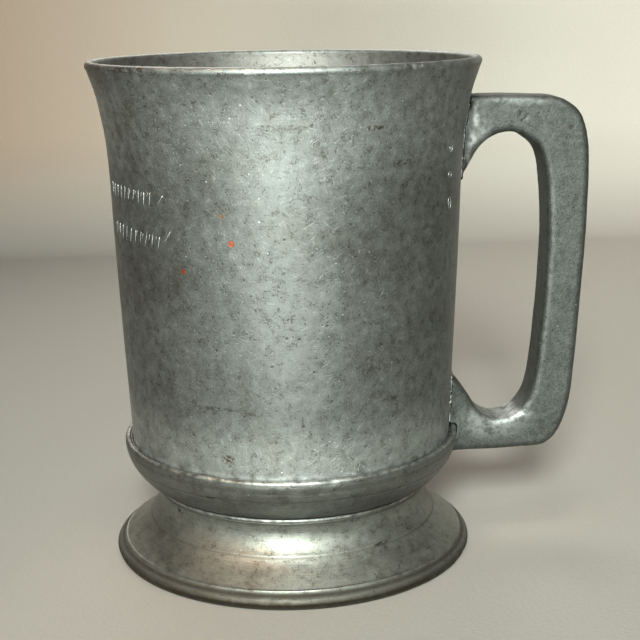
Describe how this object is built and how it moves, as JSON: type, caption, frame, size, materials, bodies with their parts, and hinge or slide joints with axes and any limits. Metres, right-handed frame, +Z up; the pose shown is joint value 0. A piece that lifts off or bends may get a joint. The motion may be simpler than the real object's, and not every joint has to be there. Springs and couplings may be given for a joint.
{
  "type": "pewter tankard",
  "caption": "Straight-sided pint tankard with a flared lip, a turned base cup, a spreading hollow foot and a square cast handle.",
  "frame": {"origin": "on the plane the foot stands on, under the middle of the whole tankard's bounding box", "axes": "+Z up out of the mouth, +X towards the handle, +Y across it"},
  "size_m": [0.125, 0.0966, 0.125],
  "materials": {
    "drum_pewter": "dull satin pewter with fine scratches",
    "cup_pewter": "dull satin pewter with turning lines",
    "foot_pewter": "satin pewter, polished by wear on its edges",
    "cast_pewter": "matt cast pewter with small pits",
    "solder": "bright tin solder, uneven"
  },
  "bodies": {
    "root": {"drum": "drum_pewter", "base_cup": "cup_pewter", "foot": "foot_pewter", "handle": "cast_pewter", "drum_seam_solder": "solder", "foot_seam_solder": "solder", "upper_handle_solder": "solder", "lower_handle_solder": "solder"}
  },
  "joints": []
}
